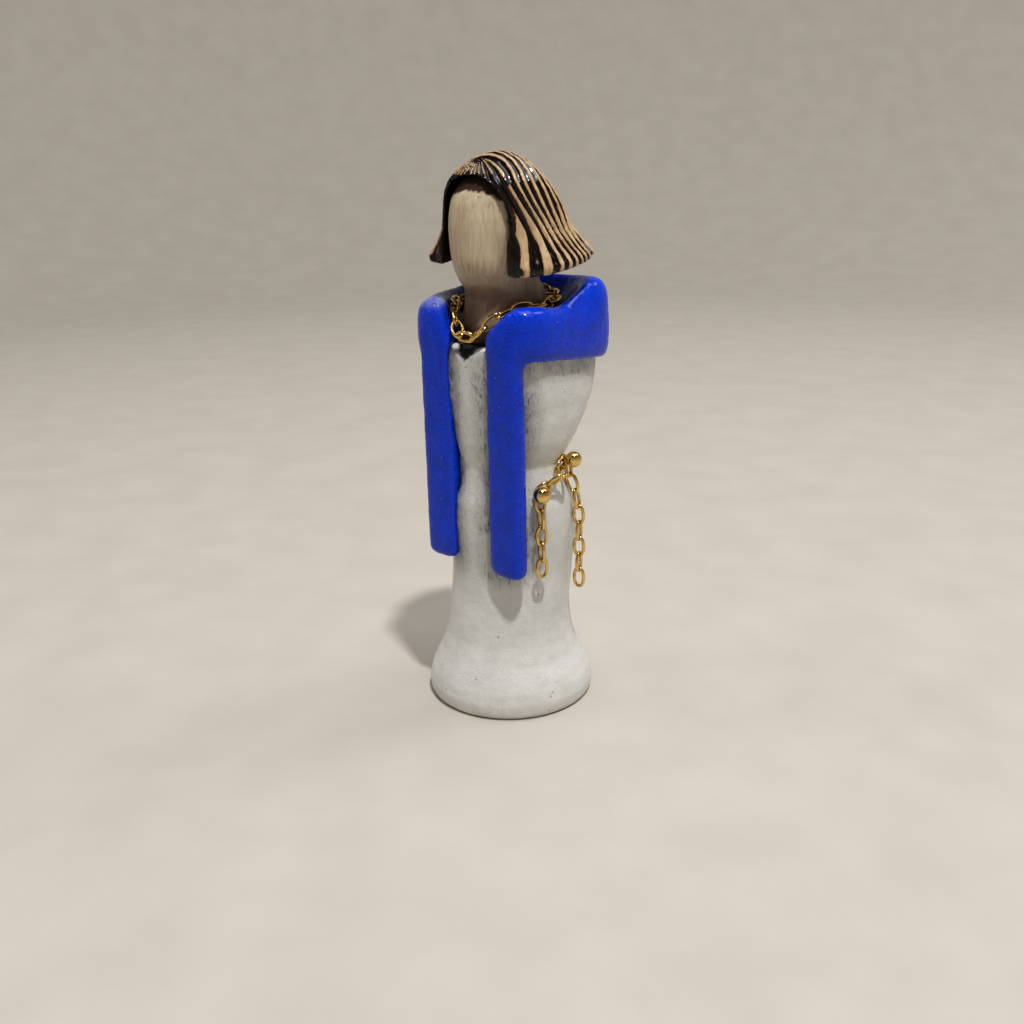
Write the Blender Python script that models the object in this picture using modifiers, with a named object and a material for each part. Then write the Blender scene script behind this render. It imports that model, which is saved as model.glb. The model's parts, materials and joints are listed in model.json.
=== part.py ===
"""Madonna statue: a small carved figure with a blank face, a bob of grooved hair and a blue
mantle.  A chain of oval links hangs from two ball-headed pins in the left hip, and a second
chain lies round the neck.

Frame: metres, +Z up.  The origin is the centre of the round base's underside, the figure
faces -Y and its left hand side is +X.
"""
import math

import bmesh
import bpy
from mathutils import Matrix, Vector

MM = 0.001
TINY = 0.02 * MM  # merge distance, far under any feature

# Driving dimensions, in millimetres
DRESS_TOP = 65.3          # top of the shoulders, hidden under the mantle
FIT_GAP = 0.1             # clearance between pieces that sit in or on each other
BASE_RADIUS = 15.3        # widest radius of the flared foot
HAIR_TOP = 95.8           # full height of the figure
MANTLE_FRONT = -10.1      # flat front of the shoulder yoke
BAND_INNER_X = 3.9        # inner edge of each hanging band
BAND_WIDTH = 6.8
BAND_DEPTH = 3.2
BAND_TOP = 68.0           # inside the yoke
BAND_BOTTOM_LEFT = 26.0
BAND_BOTTOM_RIGHT = 26.9
BAND_ROUNDING = 0.9
BAND_PROUD = 0.05         # how far the bands stand in front of the yoke
STRIP_HALF_WIDTH = BAND_INNER_X - 0.3   # the raised strip of the dress between the bands
STRIP_EDGE = 5            # how steeply the strip falls off at its edges
YOKE_HEM = 63.8           # at the front
YOKE_HEM_SLOPE = -0.11    # per millimetre towards the back
YOKE_RIM = 72.3
YOKE_RIM_TILT = -0.1      # per millimetre towards the left, over the arms
YOKE_RIM_BEHIND = 2.9     # how much higher the rim stands behind the neck
NOTCH_FRONT = -14.0       # the cut through the front of the yoke
NOTCH_BACK = -5.2

WIRE_RADIUS = 0.25        # chain wire and pin shanks
LINK_HALF_LENGTH = 1.75   # of a link's centre line
LINK_HALF_WIDTH = 0.925
LINK_PITCH = 2.95         # from one hinge point to the next
LINK_HOOK = 0.55          # from a link's end to the wire that it hangs on

PIN_AXIS_Y = 1.0          # the pins point at this upright axis
PIN_SHANK_INSIDE = 3.0
PIN_HOLE_RADIUS = WIRE_RADIUS + 0.06
PIN_BALL_RADIUS = 1.15
PIN_BALL_STANDOFF = 2.95  # from the dress surface to the centre of the ball
SWAG_STANDOFF = 0.74      # where the swag's end link sits on the shank
TAIL_STANDOFF = 1.42      # where the hanging tail's first link sits on the shank
TAIL_CLEARANCE = 1.30     # from the dress surface to a hanging chain's centre line
PINS = {                  # name: (azimuth from the front, height)
    "front": (math.radians(63.3), 40.5),
    "back": (math.radians(102.5), 44.9),
}
TAIL_LINKS = {"front": 5, "back": 8}
SWAG_PITCH = 2.72         # its links lie loosely, so they are closer than when they hang
SWAG_LIFT = 0.11          # slope at which its middle joint stands out over the waist
SWAG_TWISTS = (math.radians(34), math.radians(105))  # how its two middle links are turned
SWAG_RISES = (math.radians(31), math.radians(25))  # slope of its first and last link

NECKLACE_LINKS = 21
NECKLACE_PITCH = 2.8      # its links lie loosely
NECKLACE_RADIUS = 8.6
NECKLACE_CENTRE_Y = 0.8
NECKLACE_HEIGHT = 71.7
NECKLACE_FORWARD = 2.1    # how far the front of the loop leans out as it dips
NECKLACE_DIP_POWER = 7    # how narrow the dip at the front is
NECKLACE_RISE = 1.1       # how much higher the back of the loop lies
NECKLACE_TURN = math.radians(25)   # of the front link about its own length
NECKLACE_START = -0.16    # where the front link begins, in radians before the middle

FACE_HALF_WIDTH = 6.9     # the arched opening in the hair
FACE_MIDDLE = 83.5
FACE_TOP = 92.2
FACE_SQUARENESS = 2.5
FACE_OPENING_BACK = -4.37
HAIR_FRONT = -7.4         # the sides of the bob are trimmed flat here
FRINGE_BOTTOM = 89.5      # the fringe above this stands in front of the trim
FULL_TOP = 88.0           # above this the bob's rim is level, below it slants
FULL_DEPTH = 8.4
HOLLOW_CENTRE = (0.0, 1.4, 76.3)         # the cone cut out under the bob's rim
HOLLOW_RADII = (14.6, 7.2)
HOLLOW_DEPTH = 9.0

PEG_RADIUS = 1.8
PEG_BOTTOM = 58.0
PEG_TOP = 71.0

# Cross-sections from bottom to top: height, half width, half depth, centre y, squareness
# (2 is an ellipse), and for the dress the height of the raised strip down its front
DRESS = [
    (0.0, 14.6, 14.6, 0.0, 2.0, 0.0),
    (0.7, BASE_RADIUS - 0.1, BASE_RADIUS - 0.1, 0.0, 2.0, 0.0),
    (2.5, BASE_RADIUS, BASE_RADIUS, 0.0, 2.0, 0.0),
    (4.6, 14.8, 14.8, 0.0, 2.0, 0.0),
    (6.4, 14.0, 14.0, 0.0, 2.0, 0.0),
    (9.0, 12.7, 12.7, 0.0, 2.0, 0.0),
    (12.0, 11.7, 11.5, 0.0, 2.0, 0.0),
    (17.0, 11.2, 10.6, 0.1, 2.0, 0.0),
    (21.0, 11.3, 10.2, 0.6, 2.0, 0.1),
    (25.0, 11.4, 10.2, 1.1, 2.0, 0.4),
    (30.0, 11.9, 10.5, 1.2, 2.0, 0.5),
    (34.0, 12.1, 10.7, 1.2, 2.0, 0.5),
    (38.0, 11.8, 10.3, 1.1, 2.0, 0.8),
    (40.5, 11.1, 9.0, 0.9, 2.0, 1.4),
    (44.5, 9.9, 8.1, 0.6, 2.0, 1.6),
    (46.6, 10.6, 8.9, 0.9, 2.2, 1.4),
    (49.0, 11.3, 9.9, 1.4, 2.5, 1.2),
    (52.5, 11.9, 10.7, 1.9, 3.0, 1.0),
    (56.0, 12.2, 11.1, 2.2, 3.8, 1.0),
    (60.4, 12.3, 11.4, 2.4, 4.5, 0.9),
    (64.2, 12.2, 11.3, 2.4, 4.5, 1.0),
    (DRESS_TOP, 11.2, 10.3, 2.3, 4.5, 0.8),
]
HEAD = [
    (DRESS_TOP + FIT_GAP, 8.3, 8.0, 0.2, 2.0),
    (67.5, 7.9, 7.7, 0.3, 2.0),
    (69.5, 7.4, 7.3, 0.6, 2.0),
    (72.0, 7.1, 7.0, 0.9, 2.0),
    (74.0, 6.6, 6.9, 0.4, 2.0),
    (75.2, 6.0, 7.3, -0.7, 2.0),
    (77.0, 6.4, 8.1, -1.1, 2.0),
    (80.0, 7.0, 8.6, -1.2, 2.0),
    (84.0, 7.4, 8.7, -1.2, 2.0),
    (88.0, 7.1, 8.3, -1.0, 2.0),
    (91.0, 5.7, 6.7, -0.9, 2.0),
    (93.0, 3.6, 4.4, -0.8, 2.0),
    (93.9, 1.5, 1.8, -0.8, 2.0),
]
HAIR = [
    (79.6, 13.7, 11.9, 2.4, 2.5),
    (80.4, 13.8, 12.0, 2.3, 2.5),
    (82.0, 12.0, 11.0, 1.9, 2.4),
    (84.0, 10.5, 10.0, 1.4, 2.4),
    (88.0, 8.9, 9.6, 0.3, 2.4),
    (91.3, 7.3, 8.2, -0.7, 2.4),
    (92.8, 6.1, 7.1, -0.8, 2.3),
    (94.5, 4.2, 5.1, -0.6, 2.1),
    (95.4, 2.2, 2.8, -0.3, 2.0),
    (HAIR_TOP, 0.7, 0.9, -0.2, 2.0),
]
YOKE = [                  # heights here are shares of the way from the hem to the rim
    (0.0, 12.7, 12.0, 2.6, 5.5),
    (0.08, 13.3, 12.6, 2.6, 6.0),
    (0.4, 13.4, 12.7, 2.6, 6.0),
    (0.8, 13.2, 12.5, 2.6, 6.0),
    (0.93, 12.8, 12.1, 2.6, 5.5),
    (1.0, 12.0, 11.3, 2.6, 5.0),
]
COLLAR_OPENING = [
    (DRESS_TOP - 1.0, 8.4, 8.1, 0.2, 2.0),
    (67.5, 8.0, 7.8, 0.3, 2.0),
    (68.3, 7.8, 7.7, 0.4, 2.0),
    (68.6, 9.5, 9.5, 0.8, 2.0),
    (71.0, 10.2, 10.0, 1.1, 2.1),
    (72.5, 10.9, 10.1, 2.1, 2.3),
    (75.0, 11.1, 10.6, 2.6, 2.6),
    (80.0, 11.3, 10.9, 2.7, 2.8),
]


# ---------------------------------------------------------------- scene and materials

def clear_scene():
    for thing in list(bpy.data.objects):
        bpy.data.objects.remove(thing, do_unlink=True)


def make_collection(name):
    collection = bpy.data.collections.new(name)
    bpy.context.scene.collection.children.link(collection)
    return collection


def make_material(name, colour, roughness, metallic=0.0):
    material = bpy.data.materials.new(name)
    material.use_nodes = True
    shader = material.node_tree.nodes["Principled BSDF"]
    shader.inputs["Base Color"].default_value = (*colour, 1.0)
    shader.inputs["Roughness"].default_value = roughness
    shader.inputs["Metallic"].default_value = metallic
    return material


def add_piece(name, data, material, matrix=None):
    piece = bpy.data.objects.new(name, data)
    if matrix is not None:
        piece.matrix_world = matrix
    pieces.objects.link(piece)
    if not data.materials:
        data.materials.append(material)
    return piece


def add_cutter(name, mesh):
    cutter = bpy.data.objects.new(name, mesh)
    cutter.hide_render = True
    cutter.display_type = "WIRE"
    cutters.objects.link(cutter)
    return cutter


def combine(piece, other, operation, solver="EXACT"):
    boolean = piece.modifiers.new(operation.lower() + " " + other.name, "BOOLEAN")
    boolean.operation = operation
    boolean.solver = solver
    boolean.object = other


# ---------------------------------------------------------------- lofted solids

def interpolate(table, height):
    """Read a table of sections at a height, with smooth slopes and no overshoot."""
    height = min(max(height, table[0][0]), table[-1][0])
    i = next(k for k in range(len(table) - 1) if height <= table[k + 1][0])
    low, high = table[i], table[i + 1]
    span = high[0] - low[0]
    t = (height - low[0]) / span

    def slope(k, column):
        if k == 0 or k == len(table) - 1:
            return 0.0
        before = (table[k][column] - table[k - 1][column]) / (table[k][0] - table[k - 1][0])
        after = (table[k + 1][column] - table[k][column]) / (table[k + 1][0] - table[k][0])
        if before * after <= 0.0:
            return 0.0
        return 2.0 * before * after / (before + after)

    values = []
    for column in range(1, len(low)):
        start, end = slope(i, column) * span, slope(i + 1, column) * span
        a, b = low[column], high[column]
        values.append(a * (1 + 2 * t) * (1 - t) ** 2 + start * t * (1 - t) ** 2
                      + b * t * t * (3 - 2 * t) - end * t * t * (1 - t))
    return values


def outline_radius(section, angle):
    """Distance from a section's centre to its rounded-square outline."""
    half_width, half_depth, _, power = section[:4]
    across = abs(math.cos(angle)) / half_width
    along = abs(math.sin(angle)) / half_depth
    return (across ** power + along ** power) ** (-1.0 / power)


def outline(section, count, grow=0.0):
    """Points round a section, with the raised strip of the dress if it has one."""
    points = []
    strip = section[4] if len(section) > 4 else 0.0
    for k in range(count):
        angle = 2 * math.pi * k / count
        radius = outline_radius(section, angle) + grow
        x, y = radius * math.cos(angle), section[2] + radius * math.sin(angle)
        if math.sin(angle) < 0.0:
            y -= strip * math.exp(-abs(x / STRIP_HALF_WIDTH) ** STRIP_EDGE)
        points.append((x, y))
    return points


def levels(table, step):
    """Every height in a table, with more between those that are far apart."""
    heights = []
    for low, high in zip(table, table[1:]):
        parts = max(1, math.ceil((high[0] - low[0]) / step))
        heights += [low[0] + (high[0] - low[0]) * k / parts for k in range(parts)]
    return heights + [table[-1][0]]


def loft(name, table, count, step, grow=0.0, place=None):
    """A closed solid skinned over the sections of a table."""
    bm = bmesh.new()
    rings = []
    for height in levels(table, step):
        section = interpolate(table, height)
        ring = []
        for x, y in outline(section, count, grow):
            z = height if place is None else place(x, y, height)
            ring.append(bm.verts.new(Vector((x, y, z)) * MM))
        rings.append(ring)
    for low, high in zip(rings, rings[1:]):
        for k in range(count):
            after = (k + 1) % count
            bm.faces.new((low[k], low[after], high[after], high[k]))
    bm.faces.new(reversed(rings[0]))
    bm.faces.new(rings[-1])
    return finish_mesh(name, bm)


def finish_mesh(name, bm, smooth_below=40.0):
    bmesh.ops.recalc_face_normals(bm, faces=bm.faces)
    mesh = bpy.data.meshes.new(name)
    bm.to_mesh(mesh)
    bm.free()
    mesh.shade_smooth()
    mesh.set_sharp_from_angle(angle=math.radians(smooth_below))
    return mesh


def cylinder(name, radius, bottom, top, segments=16):
    bm = bmesh.new()
    middle = Matrix.Translation(Vector((0, 0, (bottom + top) / 2)) * MM)
    bmesh.ops.create_cone(bm, cap_ends=True, segments=segments, radius1=radius * MM,
                          radius2=radius * MM, depth=(top - bottom) * MM, matrix=middle)
    return finish_mesh(name, bm)


def prism(name, corners, front, back):
    """A flat outline in x and z, pushed from front to back."""
    bm = bmesh.new()
    face = bm.faces.new([bm.verts.new(Vector((x, front, z)) * MM) for x, z in corners])
    pushed = bmesh.ops.extrude_face_region(bm, geom=[face])["geom"]
    moved = [v for v in pushed if isinstance(v, bmesh.types.BMVert)]
    bmesh.ops.translate(bm, verts=moved, vec=Vector((0, back - front, 0)) * MM)
    return finish_mesh(name, bm)


def rounded_box(name, low, high, rounding):
    bm = bmesh.new()
    low, high = Vector(low) * MM, Vector(high) * MM
    size = high - low
    place = Matrix.Translation((low + high) / 2) @ Matrix.Diagonal((*size, 1.0))
    bmesh.ops.create_cube(bm, size=1.0, matrix=place)
    bmesh.ops.bevel(bm, geom=bm.edges[:], offset=rounding * MM, segments=3, profile=0.5,
                    affect="EDGES", clamp_overlap=True)
    return finish_mesh(name, bm)


# ---------------------------------------------------------------- the carved pieces

def dress_radius(azimuth, height):
    """Distance from the pins' upright axis to the dress surface, at an azimuth."""
    half_width, half_depth, centre_y, power, _ = interpolate(DRESS, height)
    near, far = 0.0, 2 * BASE_RADIUS
    for _ in range(40):
        middle = (near + far) / 2
        x = middle * math.sin(azimuth)
        y = PIN_AXIS_Y - middle * math.cos(azimuth) - centre_y
        inside = abs(x / half_width) ** power + abs(y / half_depth) ** power < 1.0
        near, far = (middle, far) if inside else (near, middle)
    return near


def make_dress(material):
    dress = add_piece("dress_body", loft("dress_body", DRESS, 40, 3.5), material)
    combine(dress, add_cutter("peg hole in dress", cylinder(
        "peg hole in dress", PEG_RADIUS + FIT_GAP, PEG_BOTTOM - FIT_GAP, DRESS_TOP + 5)), "DIFFERENCE")
    for name in PINS:
        hole = add_cutter("pin hole " + name, cylinder(
            "pin hole " + name, PIN_HOLE_RADIUS, -PIN_SHANK_INSIDE - FIT_GAP, 2.0, 10))
        hole.matrix_world = pin_matrix(name)
        combine(dress, hole, "DIFFERENCE")


def ease(value, low, high):
    t = min(max((value - low) / (high - low), 0.0), 1.0)
    return t * t * (3 - 2 * t)


def yoke_height(x, y, share):
    """The hem drops towards the back.  The rim dips over the left arm, rises over the right
    one and stands highest behind the neck."""
    hem = YOKE_HEM + YOKE_HEM_SLOPE * (y - MANTLE_FRONT)
    behind = ease(y, 6.5, 10.5)
    over_arm = ease(y, -8.0, 3.0) * (1 - behind)
    rim = YOKE_RIM + YOKE_RIM_TILT * x * over_arm + YOKE_RIM_BEHIND * behind
    return hem + (rim - hem) * share


def make_mantle(material):
    mantle = add_piece("mantle", loft("mantle", YOKE, 64, 0.4, place=yoke_height), material)
    band_front = MANTLE_FRONT - BAND_PROUD
    for side, bottom in ((1, BAND_BOTTOM_LEFT), (-1, BAND_BOTTOM_RIGHT)):
        edges = sorted((side * BAND_INNER_X, side * (BAND_INNER_X + BAND_WIDTH)))
        band = rounded_box("band", (edges[0], band_front, bottom),
                           (edges[1], band_front + BAND_DEPTH, BAND_TOP), BAND_ROUNDING)
        combine(mantle, add_cutter("band", band), "UNION")
    body = loft("room for the dress", DRESS, 40, 3.5, grow=FIT_GAP)
    body.transform(Matrix.Translation(Vector((0, 0, FIT_GAP)) * MM))
    combine(mantle, add_cutter("room for the dress", body), "DIFFERENCE")
    opening = loft("collar opening", COLLAR_OPENING, 40, 3.0)
    combine(mantle, add_cutter("collar opening", opening), "DIFFERENCE")
    inner = BAND_INNER_X
    notch = prism("neckline notch", [
        (-inner, 59.0), (inner, 59.0), (inner, 67.6), (9.0, 72.0), (9.6, 77.0),
        (-6.6, 77.0), (-5.9, 70.5), (-inner, 66.2)], NOTCH_FRONT, NOTCH_BACK)
    combine(mantle, add_cutter("neckline notch", notch), "DIFFERENCE")


def make_head(material):
    head = add_piece("head_and_neck", loft("head_and_neck", HEAD, 32, 2.2), material)
    hole = cylinder("peg hole in neck", PEG_RADIUS + FIT_GAP, DRESS_TOP - 3, PEG_TOP + FIT_GAP)
    combine(head, add_cutter("peg hole in neck", hole), "DIFFERENCE")


def hair_height(x, y, height):
    """The rim hangs lower at the front, and lowest on the left."""
    share = max(0.0, (FULL_TOP - height) / FULL_DEPTH)
    return height - share ** 2 * (1.08 + 0.082 * x - 0.154 * y)


def face_arch(steps):
    """The outline of the opening for the face: a rounded arch, straight down at its sides."""
    power = FACE_SQUARENESS
    corners = []
    for k in range(steps + 1):
        angle = math.pi * k / steps
        reach = (abs(math.cos(angle)) ** power + abs(math.sin(angle)) ** power) ** (-1 / power)
        corners.append((FACE_HALF_WIDTH * reach * math.cos(angle),
                        FACE_MIDDLE + (FACE_TOP - FACE_MIDDLE) * reach * math.sin(angle)))
    return corners + [(-FACE_HALF_WIDTH, 68.0), (FACE_HALF_WIDTH, 68.0)]


def make_hair(material):
    hair = add_piece("hair", loft("hair", HAIR, 44, 2.2, place=hair_height), material)
    skull = loft("room for the head", HEAD, 32, 2.2, grow=FIT_GAP)
    skull.transform(Matrix.Translation(Vector((0, 0, FIT_GAP)) * MM))
    combine(hair, add_cutter("room for the head", skull), "DIFFERENCE")
    bm = bmesh.new()
    bmesh.ops.create_cone(bm, cap_ends=True, segments=44, radius1=HOLLOW_RADII[0] * MM,
                          radius2=HOLLOW_RADII[1] * MM, depth=HOLLOW_DEPTH * MM,
                          matrix=Matrix.Translation(Vector(HOLLOW_CENTRE) * MM))
    combine(hair, add_cutter("hollow under the rim", finish_mesh("hollow", bm)), "DIFFERENCE")
    window = prism("face window", face_arch(12), -20.0, FACE_OPENING_BACK)
    combine(hair, add_cutter("face window", window), "DIFFERENCE")
    trim = rounded_box("front trim", (-16.0, -30.0, 68.0), (16.0, HAIR_FRONT, FRINGE_BOTTOM), 1.0)
    combine(hair, add_cutter("front trim", trim), "DIFFERENCE", solver="MANIFOLD")


def make_peg(material):
    peg = cylinder("neck_peg", PEG_RADIUS, PEG_BOTTOM, PEG_TOP)
    add_piece("neck_peg", peg, material)


# ---------------------------------------------------------------- pins and chains

def outward(azimuth):
    return Vector((math.sin(azimuth), -math.cos(azimuth), 0.0))


def sideways(azimuth):
    """Level and along the body, away from the front."""
    return Vector((math.cos(azimuth), math.sin(azimuth), 0.0))


def round_the_body(azimuth, radius, height):
    return Vector((0.0, PIN_AXIS_Y, height)) + outward(azimuth) * radius


def pin_matrix(name):
    """A pin's frame: its origin on the dress surface, its +Z pointing outwards."""
    azimuth, height = PINS[name]
    place = round_the_body(azimuth, dress_radius(azimuth, height), height)
    turn = outward(azimuth).to_track_quat("Z", "Y").to_matrix().to_4x4()
    return Matrix.Translation(place * MM) @ turn


def pin_mesh():
    """A ball on a straight shank, as one turned profile."""
    neck = math.asin(WIRE_RADIUS / PIN_BALL_RADIUS)
    steps = 8
    profile = [(0.0, PIN_BALL_STANDOFF + PIN_BALL_RADIUS)]
    for k in range(1, steps + 1):
        angle = (math.pi - neck) * k / steps
        profile.append((PIN_BALL_RADIUS * math.sin(angle),
                        PIN_BALL_STANDOFF + PIN_BALL_RADIUS * math.cos(angle)))
    profile += [(WIRE_RADIUS, -PIN_SHANK_INSIDE), (0.0, -PIN_SHANK_INSIDE)]
    bm = bmesh.new()
    chain = [bm.verts.new(Vector((r, 0, z)) * MM) for r, z in profile]
    for a, b in zip(chain, chain[1:]):
        bm.edges.new((a, b))
    mesh = bpy.data.meshes.new("ball pin")
    bm.to_mesh(mesh)
    bm.free()
    return mesh


def make_pins(material):
    mesh = pin_mesh()
    for name in PINS:
        pin = add_piece("hip_pin_" + name, mesh, material, pin_matrix(name))
        turned = pin.modifiers.new("turned", "SCREW")
        turned.steps = turned.render_steps = 12
        turned.use_merge_vertices = True
        turned.merge_threshold = TINY
        turned.use_smooth_shade = True


def link_curve():
    """An oval link in its own x-z plane.  Its origin is on the wire that it hangs on, and
    its other end is one pitch below."""
    curve = bpy.data.curves.new("chain link", "CURVE")
    curve.dimensions = "3D"
    curve.bevel_depth = WIRE_RADIUS * MM
    curve.bevel_resolution = 1
    per_end = 6
    straight = LINK_HALF_LENGTH - LINK_HALF_WIDTH
    centre = LINK_HOOK - LINK_HALF_LENGTH
    points = []
    for end in (1, -1):
        for k in range(per_end):
            angle = math.pi * k / (per_end - 1) + (0.0 if end > 0 else math.pi)
            points.append((LINK_HALF_WIDTH * math.cos(angle),
                           centre + end * straight + LINK_HALF_WIDTH * math.sin(angle)))
    spline = curve.splines.new("POLY")
    spline.points.add(len(points) - 1)
    for point, (x, z) in zip(spline.points, points):
        point.co = (x * MM, 0.0, z * MM, 1.0)
    spline.use_cyclic_u = True
    return curve


def link_matrix(start, end, facing):
    """Place a link from one hinge point towards the next, its flat side facing a direction."""
    down = (end - start).normalized()
    flat = (facing - down * facing.dot(down)).normalized()
    side = flat.cross(-down)
    turn = Matrix((side, flat, -down)).transposed().to_4x4()
    return Matrix.Translation(start * MM) @ turn


def step_along(path, start, distance):
    """The next parameter at which a path is a given distance from where it was."""
    here = path(start)
    reach = start
    while (path(reach) - here).length < distance:
        reach += 0.01
        if reach > start + 2.0:
            return reach
    low, high = reach - 0.01, reach
    for _ in range(30):
        middle = (low + high) / 2
        low, high = (middle, high) if (path(middle) - here).length < distance else (low, middle)
    return high


def tail_points(name):
    """Hinge points of a hanging tail: it leans out over the hip, then drops straight."""
    azimuth, height = PINS[name]
    radius = dress_radius(azimuth, height) + TAIL_STANDOFF
    points = [round_the_body(azimuth, radius, height)]
    for _ in range(TAIL_LINKS[name]):
        drop = LINK_PITCH
        for _ in range(6):
            lower = height - drop
            needed = max(dress_radius(azimuth, lower),
                         dress_radius(azimuth, lower + LINK_HALF_WIDTH))
            out = max(radius, needed + TAIL_CLEARANCE)
            drop = math.sqrt(max(LINK_PITCH ** 2 - (out - radius) ** 2, 1.0))
        radius, height = out, height - drop
        points.append(round_the_body(azimuth, radius, height))
    return points


def swag_points():
    """Hinge points of the swag's four links.  The end links lie square to their pins, and
    the two between them close the gap, standing out over the waist."""
    ends = []
    for name in ("front", "back"):
        azimuth, height = PINS[name]
        ends.append(round_the_body(azimuth, dress_radius(azimuth, height) + SWAG_STANDOFF, height))
    first, last = [math.cos(rise) * sideways(PINS[name][0]) + math.sin(rise) * Vector((0, 0, 1))
                   for name, rise in zip(("front", "back"), SWAG_RISES)]
    second = ends[0] + first * SWAG_PITCH
    fourth = ends[1] - last * (SWAG_PITCH - LINK_HOOK)
    across = fourth - second
    apart = math.sqrt(SWAG_PITCH ** 2 - (across.length / 2) ** 2)
    middle = (second + fourth) / 2
    lift = (middle - Vector((0, PIN_AXIS_Y, middle.z))).normalized() + Vector((0, 0, SWAG_LIFT))
    lift = (lift - across * lift.dot(across) / across.length_squared).normalized()
    return [ends[0], second, middle + lift * apart, fourth, fourth + last * SWAG_PITCH]


def hip_links():
    """Every hip link as start, end and the way its flat side faces."""
    links = []
    for name in ("front", "back"):
        radial = outward(PINS[name][0])
        tangent = sideways(PINS[name][0])
        points = tail_points(name)
        tail = [(a, b, radial if k % 2 == 0 else tangent)
                for k, (a, b) in enumerate(zip(points, points[1:]))]
        links += tail
        if name == "front":
            links += swag_links()
    return links


def swag_links():
    """The swag's links.  The end ones lie flat on the dress, the middle ones are twisted."""
    points = swag_points()
    facings = [outward(PINS["front"][0]), None, None, outward(PINS["back"][0])]
    for k in (1, 2):
        along = (points[k + 1] - points[k]).normalized()
        out = (points[k] + points[k + 1]) / 2 - Vector((0, PIN_AXIS_Y, points[k].z))
        facings[k] = Matrix.Rotation(SWAG_TWISTS[k - 1], 3, along) @ out.normalized()
    return list(zip(points, points[1:], facings))


def necklace_links():
    """Links of the closed loop, each turned about a quarter from the last so that the last
    meets the first.  The dip at the front takes up whatever length the loop has left."""
    def hang(dip):
        def path(t):
            front = max(0.0, math.cos(t)) ** NECKLACE_DIP_POWER
            return Vector((
                NECKLACE_RADIUS * math.sin(t),
                NECKLACE_CENTRE_Y - NECKLACE_RADIUS * math.cos(t) - NECKLACE_FORWARD * front,
                NECKLACE_HEIGHT - dip * front + NECKLACE_RISE * max(0.0, -math.cos(t))))

        t, stops = NECKLACE_START, [NECKLACE_START]
        for _ in range(NECKLACE_LINKS):
            t = step_along(path, t, NECKLACE_PITCH)
            stops.append(t)
        return path, stops

    low, high = 0.0, 12.0
    for _ in range(30):
        dip = (low + high) / 2
        path, stops = hang(dip)
        low, high = (dip, high) if stops[-1] > 2 * math.pi + NECKLACE_START else (low, dip)
    points = [path(t) for t in stops[:-1]]
    twist = math.pi * (NECKLACE_LINKS // 2) / NECKLACE_LINKS
    links = []
    for k, a in enumerate(points):
        b = points[(k + 1) % len(points)]
        out = (a + b) / 2 - Vector((0, NECKLACE_CENTRE_Y, (a.z + b.z) / 2))
        turn = NECKLACE_TURN + k * twist
        links.append((a, b, Matrix.Rotation(turn, 3, (b - a).normalized()) @ out.normalized()))
    return links


def make_chain(prefix, links, curve, material):
    for k, (start, end, facing) in enumerate(links, 1):
        add_piece(f"{prefix}_{k:02d}", curve, material, link_matrix(start, end, facing))


# ---------------------------------------------------------------- build

clear_scene()
pieces = make_collection("Madonna statue")
cutters = make_collection("Cutters")

white_paint = make_material("white paint", (0.60, 0.60, 0.58), 0.42)
blue_paint = make_material("blue paint", (0.010, 0.030, 0.50), 0.25)
bare_wood = make_material("bare wood", (0.52, 0.39, 0.25), 0.55)
burnt_wood = make_material("burnt and varnished wood", (0.12, 0.06, 0.03), 0.20)
gold = make_material("gold", (0.85, 0.55, 0.12), 0.22, 1.0)

make_dress(white_paint)
make_mantle(blue_paint)
make_head(bare_wood)
make_hair(burnt_wood)
make_peg(bare_wood)
make_pins(gold)
chain_link = link_curve()
make_chain("hip_link", hip_links(), chain_link, gold)
make_chain("necklace_link", necklace_links(), chain_link, gold)
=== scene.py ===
"""Madonna statue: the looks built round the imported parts.

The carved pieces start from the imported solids: each is copied, remeshed finely, relaxed and
then carved and roughened by short functions.  The pins and links are turned and bent anew on
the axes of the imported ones.  Lengths are millimetres, except for the floor, the lights and the
camera, which are in metres.  The scales of noises count per metre.
"""
import json
import math

import bmesh
import bpy
import numpy as np
from mathutils import Matrix, Vector, noise
from mathutils.bvhtree import BVHTree

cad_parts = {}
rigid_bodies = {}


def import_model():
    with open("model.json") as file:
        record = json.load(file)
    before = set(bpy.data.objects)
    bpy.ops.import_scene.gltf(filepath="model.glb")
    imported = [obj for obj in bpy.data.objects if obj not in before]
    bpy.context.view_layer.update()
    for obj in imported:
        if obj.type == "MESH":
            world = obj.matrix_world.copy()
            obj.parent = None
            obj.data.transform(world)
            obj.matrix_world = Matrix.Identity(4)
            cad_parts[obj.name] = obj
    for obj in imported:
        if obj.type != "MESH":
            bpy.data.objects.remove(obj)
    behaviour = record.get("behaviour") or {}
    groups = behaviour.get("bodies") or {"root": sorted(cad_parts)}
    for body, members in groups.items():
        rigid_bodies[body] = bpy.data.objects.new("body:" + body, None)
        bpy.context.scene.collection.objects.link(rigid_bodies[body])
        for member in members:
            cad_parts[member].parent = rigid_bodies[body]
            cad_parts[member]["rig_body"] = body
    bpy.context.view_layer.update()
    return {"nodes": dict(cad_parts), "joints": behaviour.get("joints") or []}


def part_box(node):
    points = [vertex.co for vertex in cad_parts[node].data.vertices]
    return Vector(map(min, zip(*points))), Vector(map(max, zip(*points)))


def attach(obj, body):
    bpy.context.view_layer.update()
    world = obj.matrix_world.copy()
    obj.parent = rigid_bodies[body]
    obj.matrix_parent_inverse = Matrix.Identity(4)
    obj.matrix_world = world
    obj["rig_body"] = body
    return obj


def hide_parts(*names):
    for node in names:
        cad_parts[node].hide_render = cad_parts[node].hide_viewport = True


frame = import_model()

MM = 0.001
QUARTER_TURN = math.pi / 2
FIGURE = "figure"         # the body that every carved piece and pin rides on

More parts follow.
